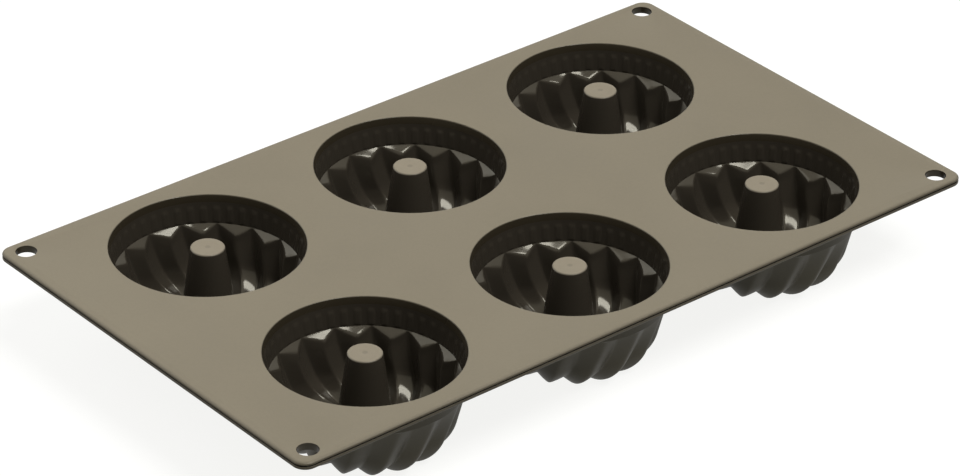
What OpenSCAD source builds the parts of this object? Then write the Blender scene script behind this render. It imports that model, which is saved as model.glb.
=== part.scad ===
// Mini fluted tube pan: one flexible sheet that carries two rows of ring-shaped cups.
// Every cup is a ribbed collar, a bowl of swirled flutes and a hollow centre cone.
// X runs along the sheet, Y across it and Z up. The origin is on the surface that the
// cups stand on, below the middle of the sheet.

/* [Layout] */
// Number of cups along the sheet
along_n = 3; // [2:1:4]
// Number of cups across the sheet
across_n = 2; // [1:1:3]
// Diameter of a cup's mouth at the top of the sheet
mouth_d = 69; // [64:0.5:76]
// Sheet left between two neighbouring mouths along X
web_x = 21.5; // [14:0.1:40]
// Sheet left between two neighbouring mouths along Y
web_y = 19; // [14:0.1:40]
// Sheet left between a mouth and the end of the sheet
margin_x = 25; // [14:0.1:40]
// Sheet left between a mouth and the long side of the sheet
margin_y = 8; // [7:0.1:30]

/* [Sheet] */
// Thickness of the sheet
sheet_t = 2.8; // [2.4:0.1:3.4]
// Outside radius of the sheet's corners
corner_r = 5; // [4:0.5:9]
// Width of the moulded rim that runs round the sheet
rim_w = 2.6; // [2:0.1:2.8]
// Radius of the rim's rounded top edge
rim_round = 1; // [0.4:0.1:1.3]
// Radius of the rim's rounded bottom edge
rim_low_round = 0.5; // [0.3:0.1:1]
// Height of the parting groove just below the rim's rounded top edge
part_h = 0.3; // [0.2:0.05:0.4]
// Depth of the parting groove
part_d = 0.3; // [0.1:0.05:0.5]
// Width of the bevel round each mouth
mouth_bevel = 0.5; // [0.2:0.1:0.8]

/* [Corner holes] */
// Diameter of the hanging hole in each corner
hole_d = 7.6; // [5:0.1:8]
// Distance from a hole's centre to the end of the sheet
hole_x = 7.7; // [7:0.1:10]
// Distance from a hole's centre to the long side of the sheet
hole_y = 7; // [6.8:0.1:10]

/* [Collar] */
// Depth from the top of the sheet to the shoulder where the flutes start
collar_h = 10.8; // [8:0.1:14]
// How much the collar narrows from the mouth to the shoulder, on the radius
collar_taper = 1.6; // [0.8:0.05:2.2]
// Wall thickness of the collar at the shoulder
collar_t = 2.5; // [2.4:0.1:3.2]
// Ribs round the inside of one collar
rib_n = 45; // [24:1:60]
// Width of one rib
rib_w = 2.2; // [1.2:0.1:3]
// Height of one rib above the collar's wall
rib_h = 0.2; // [0.1:0.05:0.5]
// Depth of the smooth band above the ribs
smooth_h = 3.7; // [3.5:0.1:6]

/* [Flutes] */
// Depth from the top of the sheet to the floor of a cup
cup_depth = 34.2; // [30:0.1:42]
// Wall thickness of the bowl's foot, the floor and the cone
wall = 1.3; // [1:0.1:1.8]
// Wall thickness of the fluted bowl at the shoulder, thinning down to its foot
wall_top = 2.2; // [1.4:0.1:2.3]
// Flutes round one cup
flute_n = 16; // [10:1:20]
// Depth of a flute, from its valley to the ridge beside it
flute_d = 2.6; // [1.7:0.1:3.5]
// Depth of the notches outside at the shoulder, growing to the flutes' depth below
notch_d = 1.2; // [0.6:0.1:1.6]
// Height of the plain lip between the shoulder and the tops of the valleys
lip_h = 0.3; // [0.2:0.1:0.6]
// Height of the sloped teeth between the collar and the ridges
tooth_h = 2.5; // [1.5:0.1:4]
// Angle that the flutes turn through on their way down to the floor
swirl = 24; // [0:1:40]
// Power that holds the swirl back near the top
swirl_power = 1.55; // [1:0.05:2.5]
// Angle that the upper ends of the ridges and notches lean ahead of the swirl
lean_ahead = 2; // [0:0.5:4]
// Length over which a ridge's lean fades out below its tooth
ridge_fade = 3; // [2:0.5:8]
// Length over which a notch's lean fades out below the skirt
notch_fade = 11; // [4:0.5:14]
// Direction of one valley at the shoulder, anticlockwise from X
flute_start = 2.5; // [0:0.5:22]
// Flat width at the bottom of a valley
valley_w = 1.4; // [0.8:0.1:2]
// Flat width at the top of a ridge
ridge_w = 0.8; // [0.4:0.1:1.4]
// Draft angle of the fluted wall
flute_draft = 11; // [5:0.5:14]
// Inside radius where the wall curves into the floor
bowl_r = 12.2; // [8:0.1:13]
// Height of the plain band below the shoulder on the outside
skirt_h = 1; // [0.8:0.1:3]

/* [Centre cone] */
// Diameter of the cone's flat top
cone_top_d = 12.2; // [8:0.1:16]
// Depth from the top of the sheet to the top of the cone
cone_drop = 0.9; // [0:0.1:6]
// Draft angle of the cone
cone_draft = 8; // [4:0.5:9]
// Radius of the cone's rounded top edge
cone_round = 0.7; // [0.4:0.1:1]
// Radius of the fillet between the cone and the floor
cone_fillet = 2.2; // [1.5:0.1:3]
// Flat floor between the cone's fillet and the ends of the flutes
foot_flat = 0.6; // [0.4:0.1:1.5]

/* [Hidden] */
cups = along_n * across_n;
$fn = 96;
cut = 1;                                            // how far a cutter passes through a face
arc_steps = 6;                                      // straight steps in a small rounded edge
bowl_steps = 4;                                     // straight steps in the bowl's curve

sheet_colour = "#8c8373";
rim_colour = "#665f50";
collar_colour = "#453f34";
cup_colour = "#403a2f";
cone_colour = "#4d4639";

pitch_x = mouth_d + web_x;
pitch_y = mouth_d + web_y;
sheet_l = (along_n - 1) * pitch_x + mouth_d + 2 * margin_x;
sheet_w = (across_n - 1) * pitch_y + mouth_d + 2 * margin_y;
top_z = cup_depth + wall;                           // top of the sheet above the standing surface
under_z = top_z - sheet_t;                          // underside of the sheet
shoulder_z = top_z - collar_h;

mouth_r = mouth_d / 2;
shoulder_r = mouth_r - collar_taper;                // inside of the collar at the shoulder
skirt_r = shoulder_r + collar_t;                    // outside of the collar at the shoulder
collar_slope = collar_taper / collar_h;

// Wall line of a valley: a drafted straight, an arc and a flat floor, by length along it
arc_sink = cup_depth - bowl_r;                      // depth of the arc's centre
straight_end = arc_sink + bowl_r * sin(flute_draft);
straight_l = (straight_end - collar_h) / cos(flute_draft);
arc_l = bowl_r * (90 - flute_draft) * PI / 180;
arc_axis = shoulder_r - straight_l * sin(flute_draft) - bowl_r * cos(flute_draft);

// Centre cone, down to the ring where it meets the fluted floor
cone_top_r = cone_top_d / 2;
cone_foot_r = cone_top_r + (cup_depth - cone_drop) * tan(cone_draft);
floor_r = cone_foot_r + cone_fillet + foot_flat;
floor_l = arc_axis - floor_r;
line_l = straight_l + arc_l + floor_l;              // whole length of the valley line

// Middle of cup number i, counted along X from the near left corner
function cup_at(i) = [
    ((i - 1) % along_n - (along_n - 1) / 2) * pitch_x,
    (floor((i - 1) / along_n) - (across_n - 1) / 2) * pitch_y
];

// Points of an arc about a centre, from one angle to another
function arc(centre, r, from, to) = [
    for (k = [0:arc_steps]) centre + r * [cos(from + (to - from) * k / arc_steps),
                                          sin(from + (to - from) * k / arc_steps)]
];

// Angle of the wall's outward normal below the horizontal, at length s down the valley line
function lean(s) =
    s <= straight_l ? flute_draft :
    s >= straight_l + arc_l ? 90 :
    flute_draft + (s - straight_l) / bowl_r * 180 / PI;

// Radius and height of the valley line at length s
function line_at(s) =
    s <= straight_l ?
        [shoulder_r - s * sin(flute_draft), shoulder_z - s * cos(flute_draft)] :
    s >= straight_l + arc_l ?
        [arc_axis - (s - straight_l - arc_l), wall] :
        [arc_axis + bowl_r * cos(lean(s)), wall + bowl_r * (1 - sin(lean(s)))];

// Share of the straight wall that lies above length s
function share_at(s) = min(1, max(0, s / straight_l));

// Thickness of the wall at length s
function wall_at(s) = wall_top + (wall - wall_top) * share_at(s);

// Depth of the flutes inside at length s: full on the wall, fading out along the floor
function depth_at(s) = flute_d * min(1, max(0, (line_l - s) / floor_l));

// Depth of the notches outside at length s
function notch_at(s) = depth_at(s) * (notch_d + (flute_d - notch_d) * share_at(s)) / flute_d;

// Turn of the flutes at length s
function turn_at(s) = swirl * pow(max(0, s) / line_l, swirl_power);

// Lean ahead at length s of a ridge or notch that starts at length start
function ahead_at(s, start, fade) = lean_ahead * max(0, 1 - (s - start) / fade);

// Point at length s, moved out along the wall's normal, in direction a before the swirl
function wall_point(s, out, a) = let (
    q = line_at(s) + out * [cos(lean(s)), -sin(lean(s))],
    b = a - turn_at(s)
) [q[0] * cos(b), q[0] * sin(b), q[1]];

function ring_point(r, z, a) = [r * cos(a), r * sin(a), z];

// Columns round a cup: both sides of each valley, then both sides of the ridge beside it.
// A column is its direction and a 0 in a valley or a 1 on a ridge
valley_a = valley_w / 2 / shoulder_r * 180 / PI;
ridge_a = ridge_w / 2 / (shoulder_r - flute_d) * 180 / PI;
half_turn = 180 / flute_n;
columns = [
    for (i = [0:flute_n - 1])
        for (c = [[-valley_a, 0], [valley_a, 0], [half_turn - ridge_a, 1], [half_turn + ridge_a, 1]])
            [flute_start + 2 * half_turn * i + c[0], c[1]]
];

// Shares of the valley line at which the rows of the wall lie
line_rows = concat(
    [0, straight_l / 2, straight_l],
    [for (k = [1:bowl_steps]) straight_l + k / bowl_steps * arc_l],
    [line_l]
) / line_l;

// Lengths of a column's rows, from the length where it starts down to the floor
function row_lengths(start) = [for (k = line_rows) start + k * (line_l - start)];

// Points of one column, once round the section of the bowl: the shoulder, down the inside
// from the tooth, back up the outside and round the skirt
function column_points(col) = let (
    a = col[0],
    w = col[1],
    tooth_l = lip_h + w * tooth_h,
    notch_l = skirt_h + lip_h,
    inside = row_lengths(tooth_l),
    outside = row_lengths(notch_l)
) concat(
    [ring_point(shoulder_r, shoulder_z, a)],
    [for (s = inside)
        wall_point(s, -w * depth_at(s), a - w * ahead_at(s, tooth_l, ridge_fade))],
    [for (j = [len(outside) - 1:-1:0]) let (s = outside[j], lead = w * ahead_at(s, notch_l, notch_fade))
        wall_point(s, wall_at(s) - w * notch_at(s), a - lead)],
    [ring_point(skirt_r, shoulder_z - skirt_h, a)],
    [ring_point(skirt_r, shoulder_z, a)]
);

// Outline of the sheet, drawn in by a distance all round
module sheet_outline(inset) {
    square([sheet_l - 2 * inset, sheet_w - 2 * corner_r], center = true);
    square([sheet_l - 2 * corner_r, sheet_w - 2 * inset], center = true);
    for (x = [-1, 1])
        for (y = [-1, 1])
            translate([x * (sheet_l / 2 - corner_r), y * (sheet_w / 2 - corner_r)])
                circle(r = corner_r - inset);
}

module at_cup(i) {
    translate(cup_at(i))
        children();
}

// Section of the rim, with its outer face at x = 0 and the sheet's underside at y = 0
module rim_section() {
    part_z = sheet_t - rim_round - part_h;
    polygon(concat(
        [[-rim_w, 0]],
        arc([-rim_low_round, rim_low_round], rim_low_round, -90, 0),
        [[0, part_z], [-part_d, part_z + part_h / 2]],
        arc([-rim_round, sheet_t - rim_round], rim_round, 0, 90),
        [[-rim_w, sheet_t]]
    ));
}

// One straight stretch of the rim, centred on X, with its outer face towards -Y
module rim_bar(l) {
    translate([-l / 2, 0, 0])
        rotate([90, 0, 90])
            linear_extrude(l)
                mirror([1, 0])
                    rim_section();
}

module rim() {
    color(rim_colour)
        translate([0, 0, under_z]) {
            for (s = [0, 1]) {
                rotate(180 * s)
                    translate([0, -sheet_w / 2, 0])
                        rim_bar(sheet_l - 2 * corner_r);
                rotate(90 + 180 * s)
                    translate([0, -sheet_l / 2, 0])
                        rim_bar(sheet_w - 2 * corner_r);
            }
            for (x = [-1, 1])
                for (y = [-1, 1])
                    translate([x * (sheet_l / 2 - corner_r), y * (sheet_w / 2 - corner_r), 0])
                        rotate(x > 0 ? (y > 0 ? 0 : 270) : (y > 0 ? 90 : 180))
                            rotate_extrude(angle = 90)
                                translate([corner_r, 0])
                                    rim_section();
        }
}

// Space inside a mouth: the collar's taper carried through the sheet, bevelled at the top
module mouth_cut() {
    low_r = mouth_r - collar_slope * (sheet_t + cut);
    rotate_extrude()
        polygon([
            [0, under_z - cut],
            [low_r, under_z - cut],
            [mouth_r - collar_slope * mouth_bevel, top_z - mouth_bevel],
            [mouth_r + mouth_bevel, top_z],
            [mouth_r + mouth_bevel, top_z + cut],
            [0, top_z + cut]
        ]);
}

module sheet() {
    color(sheet_colour)
        difference() {
            translate([0, 0, under_z])
                linear_extrude(sheet_t)
                    sheet_outline(rim_w);
            for (i = [1:cups])
                at_cup(i)
                    mouth_cut();
            for (x = [-1, 1])
                for (y = [-1, 1])
                    translate([x * (sheet_l / 2 - hole_x), y * (sheet_w / 2 - hole_y), under_z - cut])
                        cylinder(h = sheet_t + 2 * cut, d = hole_d);
        }
}

// Ring of the collar between the sheet and the shoulder
module collar_ring() {
    rotate_extrude()
        polygon([
            [mouth_r - collar_slope * sheet_t, under_z],
            [skirt_r + collar_slope * (collar_h - sheet_t), under_z],
            [skirt_r, shoulder_z],
            [shoulder_r, shoulder_z]
        ]);
}

// Ribs that stand on the inside of the collar, from the smooth band to the shoulder
module collar_ribs() {
    root = collar_t / 2;                            // how far a rib reaches into the wall
    rib_top = top_z - smooth_h;
    rib_r = mouth_r - collar_slope * smooth_h;      // wall radius at the ribs' tops
    intersection() {
        rotate_extrude()
            polygon([
                [shoulder_r - rib_h, shoulder_z],
                [shoulder_r + root, shoulder_z],
                [rib_r + root, rib_top],
                [rib_r - rib_h, rib_top]
            ]);
        translate([0, 0, shoulder_z - cut])
            linear_extrude(collar_h + cut)
                for (i = [0:rib_n - 1])
                    rotate(i * 360 / rib_n)
                        translate([shoulder_r - collar_t, -rib_w / 2])
                            square([mouth_r + collar_t - shoulder_r, rib_w]);
    }
}

module collar(i) {
    color(collar_colour)
        at_cup(i) {
            collar_ring();
            collar_ribs();
        }
}

// Bowl of swirled flutes, as one closed skin round its wall
module cup(i) {
    rows = 2 * len(line_rows) + 3;
    cols = len(columns);
    points = [for (col = columns) each column_points(col)];
    faces = [
        for (c = [0:cols - 1])
            for (r = [0:rows - 1])
                let (
                    here = c * rows + r,
                    below = c * rows + (r + 1) % rows,
                    beside = ((c + 1) % cols) * rows + r,
                    across = ((c + 1) % cols) * rows + (r + 1) % rows
                )
                each [[here, below, across], [here, across, beside]]
    ];
    color(cup_colour)
        at_cup(i)
            polyhedron(points = points, faces = faces);
}

// Cone in the middle of a cup, hollow from below, with the ring of floor round its foot
module cone(i) {
    top_cone_z = top_z - cone_drop;
    fillet_turn = 90 - cone_draft;
    fillet_x = cone_foot_r + cone_fillet * tan(fillet_turn / 2);
    hollow = wall / cos(cone_draft);
    round_x = cone_top_r - cone_round * tan(fillet_turn / 2);
    color(cone_colour)
        at_cup(i)
            rotate_extrude()
                polygon(concat(
                    [[floor_r, wall]],
                    arc([fillet_x, wall + cone_fillet], cone_fillet, 270, 180 + cone_draft),
                    arc([round_x, top_cone_z - cone_round], cone_round, cone_draft, 90),
                    [
                        [0, top_cone_z],
                        [0, top_cone_z - wall],
                        [cone_top_r - hollow + wall * tan(cone_draft), top_cone_z - wall],
                        [cone_foot_r - hollow + wall * tan(cone_draft), 0],
                        [floor_r, 0]
                    ]
                ));
}

sheet();
rim();
for (i = [1:cups]) {
    collar(i);
    cup(i);
    cone(i);
}
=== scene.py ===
"""Mini fluted tube pan: a flexible silicone sheet with two rows of ring-shaped cups."""

import math

import bmesh
import bpy
from bpy.props import FloatProperty, FloatVectorProperty, IntProperty, PointerProperty
from mathutils import Matrix, Vector


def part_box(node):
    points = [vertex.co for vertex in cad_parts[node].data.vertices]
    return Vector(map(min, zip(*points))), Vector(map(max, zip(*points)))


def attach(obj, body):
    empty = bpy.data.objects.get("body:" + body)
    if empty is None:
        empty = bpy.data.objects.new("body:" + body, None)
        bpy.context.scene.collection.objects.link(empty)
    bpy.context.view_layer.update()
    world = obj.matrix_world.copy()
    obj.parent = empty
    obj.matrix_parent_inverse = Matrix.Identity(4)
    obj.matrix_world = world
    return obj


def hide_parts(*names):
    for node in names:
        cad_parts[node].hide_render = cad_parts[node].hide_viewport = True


bl_info = {
    "name": "Mini fluted tube pan",
    "version": (1, 0, 0),
    "blender": (4, 5, 0),
    "location": "3D View > Sidebar > Tube pan",
    "description": "Builds a moulded silicone pan with six fluted ring cups",
    "category": "Add Mesh",
}

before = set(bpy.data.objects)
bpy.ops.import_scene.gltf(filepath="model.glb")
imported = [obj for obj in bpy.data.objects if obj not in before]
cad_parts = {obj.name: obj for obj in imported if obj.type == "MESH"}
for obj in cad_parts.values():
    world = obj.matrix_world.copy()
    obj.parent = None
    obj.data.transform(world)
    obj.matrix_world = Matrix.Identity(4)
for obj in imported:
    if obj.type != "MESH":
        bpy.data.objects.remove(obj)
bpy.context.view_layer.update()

MM = 0.001
CUPS = range(1, 7)
UP = Vector((0, 0, 1))
SHEET_BOX = [Vector(corner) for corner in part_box("sheet")]
RIM_BOX = [Vector(corner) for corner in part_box("rim")]
TOP_Z = SHEET_BOX[1].z
UNDER_Z = SHEET_BOX[0].z
# Vertices closer than this are one.
SAME_PLACE = 0.001 * MM
# Faces round a corner of the sheet, a mouth, a hanging hole and a cone, and across a rib or flute.
CORNER_STEPS = 24
MOUTH_STEPS = 360
HOLE_STEPS = 64
CONE_STEPS = 128
RIB_STEPS = 16
FLUTE_STEPS = 24
# Edges that bend by more than this are shaded sharp.
CREASE = math.radians(40)
RIM_CREASE = math.radians(35)


def linear(hex_colour):
    """Turns an sRGB colour such as "#918879" into linear red, green and blue."""
    shares = [int(hex_colour[i:i + 2], 16) / 255 for i in (1, 3, 5)]
    return [s / 12.92 if s <= 0.04045 else ((s + 0.055) / 1.055) ** 2.4 for s in shares]


def length(name, description, millimetres):
    """A length property, written in millimetres and kept in metres."""
    return FloatProperty(
        name=name, description=description, default=millimetres * MM,
        subtype="DISTANCE", unit="LENGTH", precision=5,
    )


def angle(name, description, degrees):
    """An angle property, written in degrees and kept in radians."""
    return FloatProperty(
        name=name, description=description, default=math.radians(degrees),
        subtype="ANGLE", unit="ROTATION",
    )


def colour(name, description, hex_colour):
    """A colour property, written as an sRGB hex value."""
    return FloatVectorProperty(
        name=name, description=description, default=linear(hex_colour),
        subtype="COLOR", size=3, min=0, max=1,
    )


class PanSizes(bpy.types.PropertyGroup):
    """Sizes of the pan that a user would change"""

    corner_r: length("Sheet corner", "Outside radius of the sheet's corners", 5)
    rim_w: length("Rim width", "Width of the moulded rim round the sheet", 2.6)
    rim_round: length("Rim round", "Radius of the rim's rounded top edge", 1)
    rim_roll: length("Rim roll-off", "Width over which the rim's top edge falls away", 1.5)
    rim_low_round: length("Rim lower round", "Radius of the rim's bottom edge", 0.5)
    part_h: length("Parting height", "Height of the parting groove below the rim's top edge", 0.6)
    part_d: length("Parting depth", "Depth of the parting groove in the rim", 0.8)
    part_lip: length("Parting lip", "Height of the rounded lip below the groove", 0.35)
    part_lip_w: length("Parting lip width", "Width of the rounded lip below the groove", 0.2)
    hole_r: length("Hole radius", "Radius of a hanging hole", 3.8)
    hole_x: length("Hole from the end", "From a hole's centre to the sheet's end", 7.7)
    hole_y: length("Hole from the side", "From a hole's centre to the long side", 7)
    hole_lip: length("Hole lip", "Radius of the soft edge round a hanging hole", 0.1)

    mouth_r: length("Mouth radius", "Radius of a cup's mouth below its lip", 34.5)
    mouth_lip: length("Mouth lip", "Radius of the soft lip round a mouth", 0.5)
    collar_h: length("Collar height", "From the sheet's top down to the shoulder", 10.8)
    collar_taper: length("Collar taper", "Narrowing of the collar down to the shoulder", 1.6)
    collar_t: length("Collar wall", "Thickness of the collar at the shoulder", 2.5)
    rib_n: IntProperty(name="Ribs", description="Ribs round one collar", default=45, min=12)
    rib_w: length("Rib width", "Width of one rib of the collar", 2.2)
    rib_h: length("Rib height", "Height of one rib above the collar's wall", 0.24)
    rib_soft: length("Rib edge", "Width of a rib's soft edge", 1.1)
    rib_fade: length("Rib fade", "Height over which a rib rises out of the smooth band", 2.2)
    rib_foot: length("Rib foot", "Height over which a rib dies out above the shoulder", 0.9)
    smooth_h: length("Smooth band", "Depth of the plain band above the ribs", 3.7)

    cup_depth: length("Cup depth", "From the sheet's top down to a cup's floor", 34.2)
    wall: length("Wall", "Thickness of the bowl's foot, the floor and the cone", 1.3)
    wall_top: length("Upper wall", "Thickness of the bowl's wall at the shoulder", 2.2)
    flute_n: IntProperty(name="Flutes", description="Flutes round one cup", default=16, min=6)
    flute_d: length("Flute depth", "From a valley to the ridge beside it", 2.6)
    notch_d: length("Notch depth", "Depth of the outside notches at the shoulder", 1.2)
    lip_h: length("Shoulder lip", "From the shoulder to the tops of the valleys", 0.3)
    tooth_h: length("Tooth height", "Height of the sloped teeth above the ridges", 2.5)
    swirl: angle("Swirl", "Turn of the flutes on their way to the floor", 24)
    swirl_power: FloatProperty(
        name="Swirl power", description="Holds the swirl back near the top", default=1.55, min=1,
    )
    lean_ahead: angle("Lean ahead", "Lean of the ridges' and notches' upper ends", 2)
    ridge_fade: length("Ridge fade", "Length over which a ridge's lean fades out", 3)
    notch_fade: length("Notch fade", "Length over which a notch's lean fades out", 11)
    tooth_round: length("Tooth round", "Length of the rounding between a tooth and its wall", 1.2)
    flute_start: angle("First valley", "Direction of one valley at the shoulder", 2.5)
    flute_draft: angle("Flute draft", "Draft of the fluted wall", 11)
    bowl_r: length("Bowl radius", "Inside radius from the wall into the floor", 12.2)
    skirt_h: length("Skirt height", "Height of the plain band outside the shoulder", 0.4)

    cone_top_r: length("Cone top", "Radius of the cone's flat top", 6.1)
    cone_drop: length("Cone drop", "From the sheet's top down to the cone's top", 0.9)
    cone_draft: angle("Cone draft", "Draft of the centre cone", 8)
    cone_round: length("Cone round", "Radius of the cone's top edge", 0.7)
    cone_fillet: length("Cone fillet", "Radius between the cone and the floor", 2.2)
    foot_flat: length("Foot flat", "Flat floor between the fillet and the flutes", 0.6)
    gate_r: length("Gate mark radius", "Radius of the moulding mark on a cone", 0.9)
    gate_d: length("Gate mark depth", "Depth of the moulding mark on a cone", 0.08)


class PanColours(bpy.types.PropertyGroup):
    """Colours of the pan and of its stage"""

    # Painted sheen: the top face is coloured paler than the dark silicone, for the light it
    # catches.
    painted_sheen: colour("Top face", "Matte top face of the silicone", "#837b6a")
    # Painted sheen: the cone tops are coloured paler than the dark silicone, for the light they
    # catch.
    cone_painted_sheen: colour("Cone tops", "Matte tops of the centre cones", "#8f8675")
    mouth: colour("Mouth walls", "Polished silicone of the mouths' and holes' walls", "#332d22")
    edge: colour("Rim edge", "Silicone of the rim's edge", "#484236")
    # Painted shade: the parting groove's recess is coloured near black.
    groove: colour("Parting groove", "Trimmed, shaded groove in the rim", "#17140f")
    cavity: colour("Cavity", "Polished silicone inside the cups", "#3a352d")
    outer: colour("Outside", "Satin silicone outside the cups", "#444034")
    floor: colour("Floor", "Plain pale floor", "#f4f4f2")


class WallLine:
    """The line of a cup's valleys, from the shoulder over the bowl's curve to the floor."""

    def __init__(self, sizes):
        self.sizes = sizes
        self.shoulder_r = sizes.mouth_r - sizes.collar_taper
        self.shoulder_z = TOP_Z - sizes.collar_h
        self.skirt_r = self.shoulder_r + sizes.collar_t
        sine, cosine = math.sin(sizes.flute_draft), math.cos(sizes.flute_draft)
        straight_end = sizes.cup_depth - sizes.bowl_r * (1 - sine)
        self.straight = (straight_end - sizes.collar_h) / cosine
        self.curve = sizes.bowl_r * (math.pi / 2 - sizes.flute_draft)
        self.axis = self.shoulder_r - self.straight * sine - sizes.bowl_r * cosine
        self.cone_foot_r = sizes.cone_top_r + (sizes.cup_depth - sizes.cone_drop) * math.tan(
            sizes.cone_draft
        )
        self.floor_r = self.cone_foot_r + sizes.cone_fillet + sizes.foot_flat
        self.floor = self.axis - self.floor_r
        self.whole = self.straight + self.curve + self.floor

    def lean(self, run):
        """Angle of the wall's outward normal below the horizontal."""
        turned = self.sizes.flute_draft + (run - self.straight) / self.sizes.bowl_r
        return min(math.pi / 2, max(self.sizes.flute_draft, turned))

    def point(self, run, out):
        """Radius and height at a length down the line, moved out along the normal."""
        sizes, lean = self.sizes, self.lean(run)
        if run <= self.straight:
            radius = self.shoulder_r - run * math.sin(sizes.flute_draft)
            height = self.shoulder_z - run * math.cos(sizes.flute_draft)
        else:
            along_floor = max(0, run - self.straight - self.curve)
            radius = self.axis + sizes.bowl_r * math.cos(lean) - along_floor
            height = sizes.wall + sizes.bowl_r * (1 - math.sin(lean))
        return radius + out * math.cos(lean), height - out * math.sin(lean)

    def upper_share(self, run):
        """Share of the straight wall that lies above."""
        return min(1, max(0, run / self.straight))

    def thickness(self, run):
        """Thickness of the wall, which thins from the shoulder down to the bend."""
        sizes = self.sizes
        return sizes.wall_top + (sizes.wall - sizes.wall_top) * self.upper_share(run)

    def flute_depth(self, run):
        """Depth of the flutes inside, fading out along the floor."""
        return self.sizes.flute_d * min(1, max(0, (self.whole - run) / self.floor))

    def notch_depth(self, run):
        """Depth of the notches outside, which starts small under the skirt."""
        sizes = self.sizes
        full = sizes.notch_d + (sizes.flute_d - sizes.notch_d) * self.upper_share(run)
        return self.flute_depth(run) * full / sizes.flute_d

    def turn(self, run):
        """Angle by which the flutes have swirled on, gently at first."""
        return self.sizes.swirl * (max(0, run) / self.whole) ** self.sizes.swirl_power


def cup_centre(number):
    """Middle of a cup on the floor, from its cone in the frame."""
    low, high = (Vector(corner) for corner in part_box(f"cone_{number}"))
    return Vector(((low.x + high.x) / 2, (low.y + high.y) / 2, 0))


def arc(centre, radius, start, end, steps, rise=None):
    """Points of an arc in the section plane, angles in degrees. A rise makes it an oval."""
    turns = [math.radians(start + (end - start) * k / steps) for k in range(steps + 1)]
    rise = radius if rise is None else rise
    return [(centre[0] + radius * math.cos(t), centre[1] + rise * math.sin(t)) for t in turns]


def polar(radius, turn, height):
    """A point by its distance from the cup's axis, its direction and its height."""
    return Vector((radius * math.cos(turn), radius * math.sin(turn), height))


def blend(share):
    """Soft step from 0 to 1."""
    share = min(1, max(0, share))
    return share * share * (3 - 2 * share)


def section_loop(bm, points):
    """A closed section, drawn in the plane that runs out along X and up along Z."""
    verts = [bm.verts.new((x, 0, z)) for x, z in points]
    edges = [bm.edges.new(pair) for pair in zip(verts, verts[1:] + verts[:1])]
    return verts, edges


def finish_piece(bm, name, crease, materials, nodes, centre=None):
    """Makes the mesh a piece that rides on the pan and stands for its CAD nodes."""
    if centre is not None:
        bmesh.ops.translate(bm, verts=bm.verts, vec=centre)
    for face in bm.faces:
        face.smooth = True
    mesh = bpy.data.meshes.new(name)
    bm.to_mesh(mesh)
    bm.free()
    mesh.set_sharp_from_angle(angle=crease)
    for material in materials:
        mesh.materials.append(material)
    piece = bpy.data.objects.new(name, mesh)
    bpy.context.scene.collection.objects.link(piece)
    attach(piece, "root")
    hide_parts(*nodes)


def finish_in_cups(shape, name, node, materials):
    """Puts a copy of the shape in every cup, each a piece that stands for its own CAD node."""
    for number in CUPS:
        finish_piece(
            shape.copy(), f"{name}_{number}", CREASE, materials,
            [f"{node}_{number}"], cup_centre(number),
        )
    shape.free()


def sweep_round_sheet(bm, geom, long_side, short_side, corner_r):
    """Sweeps edges or a vertex once round a rectangle with rounded corners.

    They start on the near long side, where its left corner ends."""
    for quarter in range(4):
        side, across = (long_side, short_side) if quarter % 2 == 0 else (short_side, long_side)
        turn = Matrix.Rotation(math.radians(90 * quarter), 3, "Z")
        step = turn @ Vector((side - 2 * corner_r, 0, 0))
        swept = bmesh.ops.spin(
            bm, geom=geom, cent=(0, 0, 0), axis=UP, dvec=step, angle=0, steps=1,
        )
        corner = turn @ Vector((side / 2 - corner_r, corner_r - across / 2, 0))
        swept = bmesh.ops.spin(
            bm, geom=swept["geom_last"], cent=corner, axis=UP, dvec=(0, 0, 0),
            angle=math.radians(90), steps=CORNER_STEPS,
        )
        geom = swept["geom_last"]
    bmesh.ops.remove_doubles(bm, verts=bm.verts, dist=SAME_PLACE)


def rim_mesh(sizes):
    """The moulded edge of the sheet, with its rounded top and the groove of the mould's parting.

    The section's X runs in from the rim's outside face."""
    top, under = RIM_BOX[1].z, RIM_BOX[0].z
    groove_top = top - sizes.rim_round
    groove_low = groove_top - sizes.part_h
    low_round, lip, lip_w = sizes.rim_low_round, sizes.part_lip, sizes.part_lip_w
    section = [(sizes.rim_w, under)]
    section += arc((low_round, under + low_round), low_round, 270, 180, 6)
    section += arc((lip_w, groove_low - lip), lip_w, 180, 105, 5, rise=lip)
    section += [(sizes.part_d, groove_low), (sizes.part_d, groove_top)]
    section += arc((sizes.rim_roll, groove_top), sizes.rim_roll, 180, 90, 12, rise=sizes.rim_round)
    section += [(sizes.rim_w, top)]
    bm = bmesh.new()
    verts, edges = section_loop(bm, section)
    quarter_turn = Matrix.Rotation(math.radians(90), 3, "Z")
    bmesh.ops.rotate(bm, verts=verts, cent=(0, 0, 0), matrix=quarter_turn)
    start = (RIM_BOX[0].x + sizes.corner_r, RIM_BOX[0].y, 0)
    bmesh.ops.translate(bm, verts=verts, vec=start)
    long_side = RIM_BOX[1].x - RIM_BOX[0].x
    short_side = RIM_BOX[1].y - RIM_BOX[0].y
    sweep_round_sheet(bm, verts + edges, long_side, short_side, sizes.corner_r)
    bmesh.ops.recalc_face_normals(bm, faces=bm.faces)
    # The groove's floor starts on the lip's shoulder, a hair below the groove itself.
    hair = 0.015 * MM
    # The groove's faces take the groove colour, a painted shade in the recess.
    for face in bm.faces:
        height = face.calc_center_median().z
        face.material_index = 1 if groove_low - hair < height < groove_top + hair else 0
    return bm


def extrude_loop(bm, edges):
    """Extrudes a loop of edges in place and gives the new loop's vertices and edges."""
    made = bmesh.ops.extrude_edge_only(bm, edges=edges)["geom"]
    verts = [g for g in made if isinstance(g, bmesh.types.BMVert)]
    ring = set(verts)
    edges = [g for g in made if isinstance(g, bmesh.types.BMEdge) and ring.issuperset(g.verts)]
    return verts, edges


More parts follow.
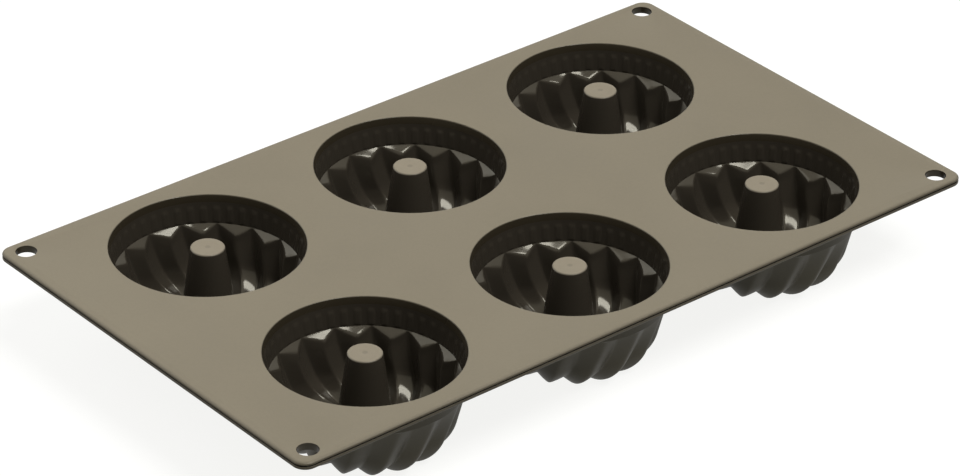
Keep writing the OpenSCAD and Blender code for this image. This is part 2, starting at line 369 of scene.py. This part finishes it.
def loop_down(bm, edges, centre, radius, steps):
    """Extrudes a round loop of edges through a list of radii and heights."""
    for next_radius, height in steps:
        verts, edges = extrude_loop(bm, edges)
        scale = next_radius / radius
        bmesh.ops.scale(
            bm, verts=verts, vec=(scale, scale, 1), space=Matrix.Translation(-centre),
        )
        bmesh.ops.translate(bm, verts=verts, vec=(0, 0, height - verts[0].co.z))
        radius = next_radius
    return edges


def sheet_mesh(sizes):
    """The flat slab between the mouths, with soft lips at the mouths and the corner holes."""
    bm = bmesh.new()
    long_side = SHEET_BOX[1].x - SHEET_BOX[0].x
    short_side = SHEET_BOX[1].y - SHEET_BOX[0].y
    corner = sizes.corner_r - sizes.rim_w
    start = bm.verts.new((-long_side / 2 + corner, -short_side / 2, TOP_Z))
    sweep_round_sheet(bm, [start], long_side, short_side, corner)
    outline = list(bm.edges)
    walls = []

    slope = sizes.collar_taper / sizes.collar_h
    lip = sizes.mouth_lip
    mouth = arc((sizes.mouth_r + lip, TOP_Z - lip), lip, 90, 180 - math.degrees(slope), 5)[1:]
    mouth.append((sizes.mouth_r - slope * (TOP_Z - UNDER_Z), UNDER_Z))
    for number in CUPS:
        walls.append((cup_centre(number) + UP * TOP_Z, sizes.mouth_r + lip, mouth, MOUTH_STEPS))

    edge = sizes.hole_lip
    hole = arc((sizes.hole_r + edge, TOP_Z - edge), edge, 90, 180, 3)[1:]
    hole += arc((sizes.hole_r + edge, UNDER_Z + edge), edge, 180, 270, 3)
    from_x, from_y = RIM_BOX[1].x - sizes.hole_x, RIM_BOX[1].y - sizes.hole_y
    for x in (-from_x, from_x):
        for y in (-from_y, from_y):
            walls.append((Vector((x, y, TOP_Z)), sizes.hole_r + edge, hole, HOLE_STEPS))

    rings = []
    for centre, radius, steps, count in walls:
        made = bmesh.ops.create_circle(
            bm, cap_ends=False, radius=radius, segments=count, matrix=Matrix.Translation(centre),
        )
        rings.append(list(dict.fromkeys(e for v in made["verts"] for e in v.link_edges)))
    top_edges = outline + [e for ring in rings for e in ring]
    low_verts, low_edges = extrude_loop(bm, outline)
    bmesh.ops.translate(bm, verts=low_verts, vec=(0, 0, UNDER_Z - TOP_Z))
    for ring, (centre, radius, steps, count) in zip(rings, walls):
        low_edges += loop_down(bm, ring, centre, radius, steps)
    bmesh.ops.triangle_fill(bm, use_beauty=True, use_dissolve=False, edges=top_edges, normal=UP)
    bmesh.ops.triangle_fill(bm, use_beauty=True, use_dissolve=False, edges=low_edges, normal=-UP)
    bmesh.ops.recalc_face_normals(bm, faces=bm.faces)
    return bm


def spin_section(bm, points, steps):
    """Turns a closed section once round the cup's axis, and closes any pole on the axis."""
    verts, edges = section_loop(bm, points)
    bmesh.ops.spin(
        bm, geom=verts + edges, cent=(0, 0, 0), axis=UP, dvec=(0, 0, 0),
        angle=math.radians(360), steps=steps, use_merge=True,
    )
    bmesh.ops.remove_doubles(bm, verts=bm.verts, dist=SAME_PLACE)
    bmesh.ops.recalc_face_normals(bm, faces=bm.faces)


def collar_mesh(sizes):
    """The ring between the sheet and the shoulder. Its soft ribs are pushed in from the wall.

    A ring is spun with many faces to each rib, and with rows of vertices where the ribs fade."""
    line = WallLine(sizes)
    slope = sizes.collar_taper / sizes.collar_h
    ribs_top = TOP_Z - sizes.smooth_h
    heights = [UNDER_Z, (UNDER_Z + ribs_top) / 2]
    heights += [ribs_top - sizes.rib_fade * k / 8 for k in range(9)]
    low, foot = heights[-1], line.shoulder_z + sizes.rib_foot
    heights += [low + (foot - low) * k / 4 for k in range(1, 5)]
    heights += [foot - sizes.rib_foot * k / 6 for k in range(1, 7)]
    inside = [(sizes.mouth_r - slope * (TOP_Z - z), z) for z in heights]
    outside = [(line.skirt_r, line.shoulder_z), (line.skirt_r, UNDER_Z)]
    bm = bmesh.new()
    spin_section(bm, inside + outside, RIB_STEPS * sizes.rib_n)
    pitch = 2 * math.pi / sizes.rib_n
    for face in bm.faces:
        face.material_index = 1 if face.calc_center_median().xy.length > sizes.mouth_r else 0
    for vert in bm.verts:
        radius = vert.co.xy.length
        if radius > sizes.mouth_r:
            continue
        across = abs((math.atan2(vert.co.y, vert.co.x) / pitch + 0.5) % 1 - 0.5) * pitch * radius
        side = blend((sizes.rib_w / 2 + sizes.rib_soft / 2 - across) / sizes.rib_soft)
        rib = sizes.rib_h * side * blend((ribs_top - vert.co.z) / sizes.rib_fade)
        rib *= blend((vert.co.z - line.shoulder_z) / sizes.rib_foot)
        vert.co.xy *= 1 - rib / radius
    return bm


def ridge_share(sizes, turn, valley_round, ridge_round):
    """0 in the middle of a valley and 1 on a ridge. The rounds are shares of half a flute."""
    pitch = 2 * math.pi / sizes.flute_n
    off = abs(((turn - sizes.flute_start) / pitch + 0.5) % 1 - 0.5) * 2
    full = math.hypot(0.5, valley_round) - valley_round + math.hypot(0.5, ridge_round) - ridge_round
    if off < 0.5:
        return (math.hypot(off, valley_round) - valley_round) / full
    return 1 - (math.hypot(1 - off, ridge_round) - ridge_round) / full


def bowl_mesh(sizes):
    """The fluted bowl. A plain bowl is spun, and its flutes and teeth are then pressed in."""
    line = WallLine(sizes)
    facet_rows = [0, 0.15, 0.3, 0.45, 0.6, 0.75, 0.9, 1]
    round_rows = [k / 8 for k in range(1, 8)]
    wall_rows = [k / 32 for k in range(33)]
    outer_rows = [0, 0.01] + [0.01 + 0.99 * k / 30 for k in range(1, 31)]
    facet, rounding, inner, outer, plain = range(5)
    rows = [(facet, k) for k in facet_rows]
    rows += [(rounding, k) for k in round_rows]
    rows += [(inner, k) for k in wall_rows]
    rows += [(outer, k) for k in reversed(outer_rows)]
    rows += [(plain, 0), (plain, 1)]
    outer_start = sizes.skirt_h

    def inner_point(run, ridge, start, turn):
        """A point of the fluted wall inside, with a ridge's upper end leaning ahead."""
        ahead = sizes.lean_ahead * ridge * max(0, 1 - (run - start) / sizes.ridge_fade)
        radius, height = line.point(run, -ridge * line.flute_depth(run))
        return polar(radius, turn - line.turn(run) - ahead, height)

    def place(kind, share, turn):
        """Where a point of the bowl lies, by the kind of its row, its share of it and its turn."""
        if kind == plain:
            return polar(line.skirt_r, turn, line.shoulder_z - sizes.skirt_h * (1 - share))
        if kind == outer:
            run = outer_start + share * (line.whole - outer_start)
            notch = ridge_share(sizes, turn, valley_round=0.13, ridge_round=0.03)
            fade = max(0, 1 - (run - outer_start) / sizes.notch_fade)
            radius, height = line.point(run, line.thickness(run) - notch * line.notch_depth(run))
            return polar(radius, turn - line.turn(run) - sizes.lean_ahead * notch * fade, height)
        ridge = ridge_share(sizes, turn, valley_round=0.05, ridge_round=0.1)
        start = sizes.lip_h + ridge * sizes.tooth_h
        shoulder = polar(line.shoulder_r, turn, line.shoulder_z)
        tip = inner_point(start, ridge, start, turn)
        slope_length = (tip - shoulder).length
        cut = min(0.45, sizes.tooth_round / slope_length)
        below = start + min(sizes.tooth_round, slope_length)
        if kind == inner:
            return inner_point(below + share * (line.whole - below), ridge, start, turn)
        if kind == facet:
            return shoulder.lerp(tip, share * (1 - cut))
        from_facet = shoulder.lerp(tip, 1 - cut).lerp(tip, share)
        to_wall = tip.lerp(inner_point(below, ridge, start, turn), share)
        return from_facet.lerp(to_wall, share)

    bm = bmesh.new()
    kind_layer = bm.verts.layers.int.new("kind")
    share_layer = bm.verts.layers.float.new("share")
    valley = sizes.flute_start
    verts = []
    for kind, share in rows:
        middle = place(kind, share, valley)
        vert = bm.verts.new((middle.xy.length, 0, middle.z))
        vert[kind_layer] = kind
        vert[share_layer] = share
        verts.append(vert)
    edges = [bm.edges.new(pair) for pair in zip(verts, verts[1:] + verts[:1])]
    bmesh.ops.spin(
        bm, geom=verts + edges, cent=(0, 0, 0), axis=UP, dvec=(0, 0, 0),
        angle=math.radians(360), steps=FLUTE_STEPS * sizes.flute_n, use_merge=True,
    )
    for vert in bm.verts:
        turn = math.atan2(vert.co.y, vert.co.x)
        vert.co = place(vert[kind_layer], vert[share_layer], turn)
    bmesh.ops.recalc_face_normals(bm, faces=bm.faces)
    for face in bm.faces:
        face.material_index = 0 if all(v[kind_layer] <= inner for v in face.verts) else 1
    return bm


def cone_mesh(sizes):
    """The hollow cone in a cup's middle, with its fillet, its ring of floor and the gate mark."""
    line = WallLine(sizes)
    top = TOP_Z - sizes.cone_drop
    draft = math.degrees(sizes.cone_draft)
    half = math.tan((math.pi / 2 - sizes.cone_draft) / 2)
    hollow = sizes.wall / math.cos(sizes.cone_draft)
    lean = sizes.wall * math.tan(sizes.cone_draft)
    fillet = (line.cone_foot_r + sizes.cone_fillet * half, sizes.wall + sizes.cone_fillet)
    shoulder = (sizes.cone_top_r - sizes.cone_round * half, top - sizes.cone_round)
    outside = [(line.floor_r, 0), (line.floor_r, sizes.wall)]
    outside += arc(fillet, sizes.cone_fillet, 270, 180 + draft, 10)
    foot, head = outside[-1], (
        shoulder[0] + sizes.cone_round * math.cos(sizes.cone_draft),
        shoulder[1] + sizes.cone_round * math.sin(sizes.cone_draft),
    )
    outside += [
        (foot[0] + (head[0] - foot[0]) * k / 8, foot[1] + (head[1] - foot[1]) * k / 8)
        for k in range(1, 8)
    ]
    outside += arc(shoulder, sizes.cone_round, draft, 90, 8)
    gate = [
        (sizes.gate_r * 1.3, top),
        (sizes.gate_r, top - sizes.gate_d * 0.7),
        (sizes.gate_r * 0.6, top - sizes.gate_d),
        (0, top - sizes.gate_d),
    ]
    inside = [
        (0, top - sizes.wall),
        (sizes.cone_top_r - hollow + lean - sizes.cone_round / 2, top - sizes.wall),
        (sizes.cone_top_r - hollow + lean, top - sizes.wall - sizes.cone_round / 2),
        (line.cone_foot_r - hollow + lean, 0),
    ]
    bm = bmesh.new()
    spin_section(bm, outside + gate + inside, CONE_STEPS)
    return bm


def add_node(tree, kind, settings=None, inputs=None):
    """Adds a node with its settings and with values or links for its inputs."""
    made = tree.nodes.new(kind)
    for name, value in (settings or {}).items():
        setattr(made, name, value)
    for name, value in (inputs or {}).items():
        if isinstance(value, bpy.types.NodeSocket):
            tree.links.new(value, made.inputs[name])
        else:
            made.inputs[name].default_value = value
    return made


def new_material(name):
    """Adds an empty node material and gives it with its tree."""
    material = bpy.data.materials.new(name)
    material.use_nodes = True
    material.node_tree.nodes.clear()
    return material, material.node_tree


MATERIAL_NAMES = {
    "sheet": "Sand-blasted silicone with painted sheen",
    "rim": "Rim silicone",
    "groove": "Groove silicone with painted shade",
    "cone": "Cone silicone",
    "cavity": "Polished cavity silicone",
    "outer": "Satin outside silicone",
}
# The silicone's tone is cloudy, in patches of 30 to 45 mm.
PATCH_SIZE = 38 * MM
# Blasting leaves grit of about 0.1 mm, a third of a pixel here, so it is drawn coarser to show.
GRAIN_SIZE = 0.9 * MM
# Height of the grain where the mould was blasted or ground, and where it was polished.
COARSE_GRIT = 0.02 * MM
FINE_GRIT = 0.004 * MM
SILICONE_IOR = 1.41
# The gloss of a brown silicone is a touch warm.
SHEEN_TINT = (1, 0.96, 0.82, 1)


def silicone(name, upper, lower, change_z, fade, upper_rough, lower_rough, grit):
    """Platinum silicone from a mould whose finish changes at one height.

    The mould's flat top face is sand-blasted and matte. Its pale colour is a painted sheen that
    stands for the light the top catches. It fades over the rounded edges, and the walls below come
    from polished steel and look darker and wetter."""
    material, tree = new_material(name)
    place = add_node(tree, "ShaderNodeTexCoord").outputs["Object"]
    height = add_node(tree, "ShaderNodeSeparateXYZ", inputs={"Vector": place}).outputs["Z"]
    near_top = add_node(tree, "ShaderNodeMapRange", inputs={
        "Value": height, "From Min": change_z - fade, "From Max": change_z,
    }).outputs["Result"]
    # Near the top the upper colour is used. On the sheet, rim and cones this is a pale painted
    # sheen.
    mask = add_node(tree, "ShaderNodeMath", {"operation": "POWER"}, {
        0: near_top, 1: 2.0,
    }).outputs["Value"]
    patches = add_node(tree, "ShaderNodeTexNoise", inputs={
        "Vector": place, "Scale": 1 / PATCH_SIZE, "Detail": 3, "Roughness": 0.5,
    }).outputs["Fac"]
    grain = add_node(tree, "ShaderNodeTexNoise", inputs={
        "Vector": place, "Scale": 1 / GRAIN_SIZE, "Detail": 2, "Roughness": 0.6,
    }).outputs["Fac"]
    base = add_node(tree, "ShaderNodeMix", {"data_type": "RGBA"}, {
        "Factor": mask, "A": (*lower, 1), "B": (*upper, 1),
    }).outputs["Result"]
    patch_tone = add_node(tree, "ShaderNodeMapRange", inputs={
        "Value": patches, "From Min": 0.3, "From Max": 0.7, "To Min": 0.955, "To Max": 1.045,
    }).outputs["Result"]
    grain_tone = add_node(tree, "ShaderNodeMapRange", inputs={
        "Value": grain, "From Min": 0.25, "From Max": 0.75, "To Min": 0.975, "To Max": 1.025,
    }).outputs["Result"]
    tone = add_node(tree, "ShaderNodeMath", {"operation": "MULTIPLY"}, {
        0: patch_tone, 1: grain_tone,
    }).outputs["Value"]
    toned = add_node(tree, "ShaderNodeVectorMath", {"operation": "SCALE"}, {
        "Vector": base, "Scale": tone,
    }).outputs["Vector"]
    rough = add_node(tree, "ShaderNodeMix", {"data_type": "FLOAT"}, {
        "Factor": mask, "A": lower_rough, "B": upper_rough,
    }).outputs["Result"]
    rough_patch = add_node(tree, "ShaderNodeMapRange", inputs={
        "Value": patches, "From Min": 0.3, "From Max": 0.7, "To Min": -0.04, "To Max": 0.04,
    }).outputs["Result"]
    roughness = add_node(tree, "ShaderNodeMath", {"operation": "ADD", "use_clamp": True}, {
        0: rough, 1: rough_patch,
    }).outputs["Value"]
    bump_height = add_node(tree, "ShaderNodeMath", {"operation": "MULTIPLY"}, {0: grain, 1: grit})
    bump = add_node(tree, "ShaderNodeBump", inputs={
        "Strength": 0.6, "Distance": 1.0, "Height": bump_height.outputs["Value"],
    }).outputs["Normal"]
    shader = add_node(tree, "ShaderNodeBsdfPrincipled", inputs={
        "Base Color": toned, "Roughness": roughness, "Normal": bump, "IOR": SILICONE_IOR,
        "Specular Tint": SHEEN_TINT,
    })
    add_node(tree, "ShaderNodeOutputMaterial", inputs={"Surface": shader.outputs["BSDF"]})
    return material


def plain_silicone(name, tone, rough, grit):
    """Silicone with one finish all over."""
    return silicone(
        name, upper=tone, lower=tone, change_z=TOP_Z, fade=MM,
        upper_rough=rough, lower_rough=rough, grit=grit,
    )


def pan_materials(colours, sizes):
    """The finishes of the moulding, by the face that they are on."""
    names = MATERIAL_NAMES
    return {
        # Blasted and matte on top, with a pale painted sheen there, and dark and smooth on the
        # walls of mouths and holes.
        "sheet": silicone(
            names["sheet"], upper=colours.painted_sheen, lower=colours.mouth, change_z=TOP_Z,
            fade=0.25 * MM, upper_rough=0.55, lower_rough=0.25, grit=COARSE_GRIT,
        ),
        # The top's painted sheen fades over the rounded edge to a satin side.
        "rim": silicone(
            names["rim"], upper=colours.painted_sheen, lower=colours.edge, change_z=TOP_Z,
            fade=sizes.rim_round, upper_rough=0.55, lower_rough=0.4, grit=COARSE_GRIT,
        ),
        # The groove along the mould's parting is dull, and its near-black colour is a painted shade
        # in the recess.
        "groove": plain_silicone(names["groove"], colours.groove, 0.6, FINE_GRIT),
        # A blasted top whose pale colour is a painted sheen, on a dark and shiny cone.
        "cone": silicone(
            names["cone"], upper=colours.cone_painted_sheen, lower=colours.cavity,
            change_z=TOP_Z - sizes.cone_drop, fade=0.6 * MM, upper_rough=0.55, lower_rough=0.22,
            grit=FINE_GRIT,
        ),
        # Polished steel leaves a wet look, dark with crisp highlights.
        "cavity": plain_silicone(names["cavity"], colours.cavity, 0.13, FINE_GRIT),
        # The mould's other half is only ground, so the outside has a soft satin sheen.
        "outer": plain_silicone(names["outer"], colours.outer, 0.42, COARSE_GRIT),
    }


def get_materials():
    """Makes the materials once and gives them by their place on the pan."""
    scene = bpy.context.scene
    if MATERIAL_NAMES["sheet"] not in bpy.data.materials:
        return pan_materials(scene.pan_colours, scene.pan_sizes)
    return {place: bpy.data.materials[name] for place, name in MATERIAL_NAMES.items()}


class PAN_OT_sheet(bpy.types.Operator):
    """Build the flat sheet and its moulded rim"""

    bl_idname = "pan.sheet"
    bl_label = "Sheet and rim"

    def execute(self, context):
        sizes = context.scene.pan_sizes
        materials = get_materials()
        finish_piece(
            sheet_mesh(sizes), "Sheet", CREASE, [materials["sheet"]], ["sheet"],
        )
        finish_piece(
            rim_mesh(sizes), "Rim", RIM_CREASE, [materials["rim"], materials["groove"]],
            ["rim"],
        )
        return {"FINISHED"}


class PAN_OT_collars(bpy.types.Operator):
    """Build the ribbed collars below the mouths"""

    bl_idname = "pan.collars"
    bl_label = "Collars"

    def execute(self, context):
        materials = get_materials()
        shape = collar_mesh(context.scene.pan_sizes)
        finish_in_cups(shape, "Collar", "collar", [materials["cavity"], materials["outer"]])
        return {"FINISHED"}


class PAN_OT_bowls(bpy.types.Operator):
    """Build the bowls of swirled flutes"""

    bl_idname = "pan.bowls"
    bl_label = "Bowls"

    def execute(self, context):
        materials = get_materials()
        shape = bowl_mesh(context.scene.pan_sizes)
        finish_in_cups(shape, "Bowl", "cup", [materials["cavity"], materials["outer"]])
        return {"FINISHED"}


class PAN_OT_cones(bpy.types.Operator):
    """Build the hollow centre cones"""

    bl_idname = "pan.cones"
    bl_label = "Cones"

    def execute(self, context):
        materials = get_materials()
        finish_in_cups(cone_mesh(context.scene.pan_sizes), "Cone", "cone", [materials["cone"]])
        return {"FINISHED"}


def mirror_rays(tree, path):
    """1 for the rays that a reflection or a clear body sends on."""
    return add_node(tree, "ShaderNodeMath", {"operation": "MAXIMUM"}, {
        0: path.outputs["Is Glossy Ray"], 1: path.outputs["Is Transmission Ray"],
    }).outputs["Value"]


def floor_material(pale):
    """A plain pale floor, near white to the camera and greyer in reflections.

    To the camera and in reflections it glows by itself, so only a little of it takes shadow."""
    eye_glow, mirror_glow, seen_tone, bounce_tone = 0.97, 0.6, 0.2, 0.5
    material, tree = new_material("Pale floor")
    path = add_node(tree, "ShaderNodeLightPath")
    eye = path.outputs["Is Camera Ray"]
    mirrored = mirror_rays(tree, path)
    to_eye = add_node(tree, "ShaderNodeMath", {"operation": "MULTIPLY"}, {
        0: eye, 1: eye_glow,
    }).outputs["Value"]
    glow = add_node(tree, "ShaderNodeMath", {"operation": "MULTIPLY_ADD"}, {
        0: mirrored, 1: mirror_glow, 2: to_eye,
    }).outputs["Value"]
    seen = add_node(tree, "ShaderNodeMath", {"operation": "MAXIMUM"}, {
        0: eye, 1: mirrored,
    }).outputs["Value"]
    tone = add_node(tree, "ShaderNodeMapRange", inputs={
        "Value": seen, "To Min": bounce_tone, "To Max": seen_tone,
    }).outputs["Result"]
    matte = add_node(tree, "ShaderNodeBsdfDiffuse", inputs={"Color": tone})
    white = add_node(tree, "ShaderNodeEmission", inputs={"Color": (*pale, 1), "Strength": glow})
    shown = add_node(tree, "ShaderNodeAddShader", inputs={
        0: matte.outputs["BSDF"], 1: white.outputs["Emission"],
    })
    add_node(tree, "ShaderNodeOutputMaterial", inputs={"Surface": shown.outputs["Shader"]})
    return material


def studio_world(scene):
    """A white backdrop to the camera, and a dim even light on everything else.

    Reflections show a warm room, bright above and beyond the pan and dim behind the camera."""
    brightest_way, dim_room, bright_room = (-0.12, 0.69, 0.71), 0.25, 1.1
    room_tint, even_light = (1, 0.96, 0.85, 1), 0.1
    world = bpy.data.worlds.new("Studio")
    world.use_nodes = True
    scene.world = world
    tree = world.node_tree
    tree.nodes.clear()
    path = add_node(tree, "ShaderNodeLightPath")
    mirrored = mirror_rays(tree, path)
    direction = add_node(tree, "ShaderNodeTexCoord").outputs["Generated"]
    facing = add_node(tree, "ShaderNodeVectorMath", {"operation": "DOT_PRODUCT"}, {
        0: direction, 1: brightest_way,
    }).outputs["Value"]
    room = add_node(tree, "ShaderNodeMapRange", inputs={
        "Value": facing, "From Min": -0.6, "From Max": 0.4,
        "To Min": dim_room, "To Max": bright_room,
    }).outputs["Result"]
    soft = add_node(tree, "ShaderNodeMix", {"data_type": "FLOAT"}, {
        "Factor": mirrored, "A": even_light, "B": room,
    }).outputs["Result"]
    strength = add_node(tree, "ShaderNodeMix", {"data_type": "FLOAT"}, {
        "Factor": path.outputs["Is Camera Ray"], "A": soft, "B": 1.0,
    }).outputs["Result"]
    tint = add_node(tree, "ShaderNodeMix", {"data_type": "RGBA"}, {
        "Factor": mirrored, "A": (1, 1, 1, 1), "B": room_tint,
    }).outputs["Result"]
    background = add_node(tree, "ShaderNodeBackground", inputs={
        "Color": tint, "Strength": strength,
    })
    add_node(tree, "ShaderNodeOutputWorld", inputs={"Surface": background.outputs["Background"]})


def softbox(name, azimuth, elevation, distance, width, height, watts):
    """A rectangular softbox that faces the pan, with its angles in degrees and sizes in metres.

    The azimuth is counted from +X towards +Y."""
    light = bpy.data.lights.new(name, "AREA")
    light.shape = "RECTANGLE"
    light.size = width
    light.size_y = height
    light.energy = watts
    lamp = bpy.data.objects.new(name, light)
    bpy.context.scene.collection.objects.link(lamp)
    across = math.cos(math.radians(elevation))
    away = polar(across, math.radians(azimuth), math.sin(math.radians(elevation)))
    lamp.location = away * distance
    lamp.rotation_euler = away.to_track_quat("Z", "Y").to_euler()


class PAN_OT_stage(bpy.types.Operator):
    """Build the pale floor, the soft studio light and the camera"""

    bl_idname = "pan.stage"
    bl_label = "Stage"

    def execute(self, context):
        scene = context.scene
        scene.view_settings.view_transform = "Standard"
        bm = bmesh.new()
        bmesh.ops.create_grid(bm, x_segments=1, y_segments=1, size=4)
        mesh = bpy.data.meshes.new("Floor")
        bm.to_mesh(mesh)
        bm.free()
        mesh.materials.append(floor_material(scene.pan_colours.floor))
        floor = bpy.data.objects.new("Floor", mesh)
        scene.collection.objects.link(floor)
        studio_world(scene)
        softbox(
            "Key softbox", azimuth=288.5, elevation=63, distance=2.6,
            width=1.27, height=1.0, watts=54,
        )
        softbox(
            "Back left fill", azimuth=125, elevation=38, distance=0.75,
            width=0.8, height=0.6, watts=1.9,
        )
        place_camera(scene)
        return {"FINISHED"}


def place_camera(scene):
    """The photograph's viewpoint: a long lens from the near left, about 31 degrees up."""
    data = bpy.data.cameras.new("Camera")
    data.sensor_width = 36
    data.lens = 170.57
    camera = bpy.data.objects.new("Camera", data)
    scene.collection.objects.link(camera)
    place = Vector((-892.18, -1054.15, 849.96)) * MM
    target = Vector((-13.72, -11.86, 35.65)) * MM
    roll = math.radians(0.8175)
    camera.location = place
    look = (target - place).to_track_quat("-Z", "Y")
    camera.rotation_mode = "QUATERNION"
    camera.rotation_quaternion = look @ Matrix.Rotation(roll, 3, "Z").to_quaternion()
    data.clip_start, data.clip_end = 0.05, 20
    scene.camera = camera


class PAN_PT_panel(bpy.types.Panel):
    """The pan's pieces and sizes"""

    bl_idname = "PAN_PT_panel"
    bl_label = "Tube pan"
    bl_space_type = "VIEW_3D"
    bl_region_type = "UI"
    bl_category = "Tube pan"

    def draw(self, context):
        for operator in OPERATORS:
            self.layout.operator(operator.bl_idname)
        for group in (context.scene.pan_sizes, context.scene.pan_colours):
            column = self.layout.column()
            for name in group.bl_rna.properties.keys():
                if name not in ("rna_type", "name"):
                    column.prop(group, name)


OPERATORS = (PAN_OT_stage, PAN_OT_sheet, PAN_OT_collars, PAN_OT_bowls, PAN_OT_cones)
CLASSES = (PanSizes, PanColours, *OPERATORS, PAN_PT_panel)


def register():
    """Registers the classes and puts the sizes and colours on the scene."""
    for cls in CLASSES:
        bpy.utils.register_class(cls)
    bpy.types.Scene.pan_sizes = PointerProperty(type=PanSizes)
    bpy.types.Scene.pan_colours = PointerProperty(type=PanColours)


def unregister():
    """Takes the sizes, colours and classes away again."""
    del bpy.types.Scene.pan_colours
    del bpy.types.Scene.pan_sizes
    for cls in reversed(CLASSES):
        bpy.utils.unregister_class(cls)


def main():
    """Builds the stage and the pan."""
    register()
    bpy.ops.pan.stage()
    bpy.ops.pan.sheet()
    bpy.ops.pan.collars()
    bpy.ops.pan.bowls()
    bpy.ops.pan.cones()


if __name__ == "__main__":
    main()
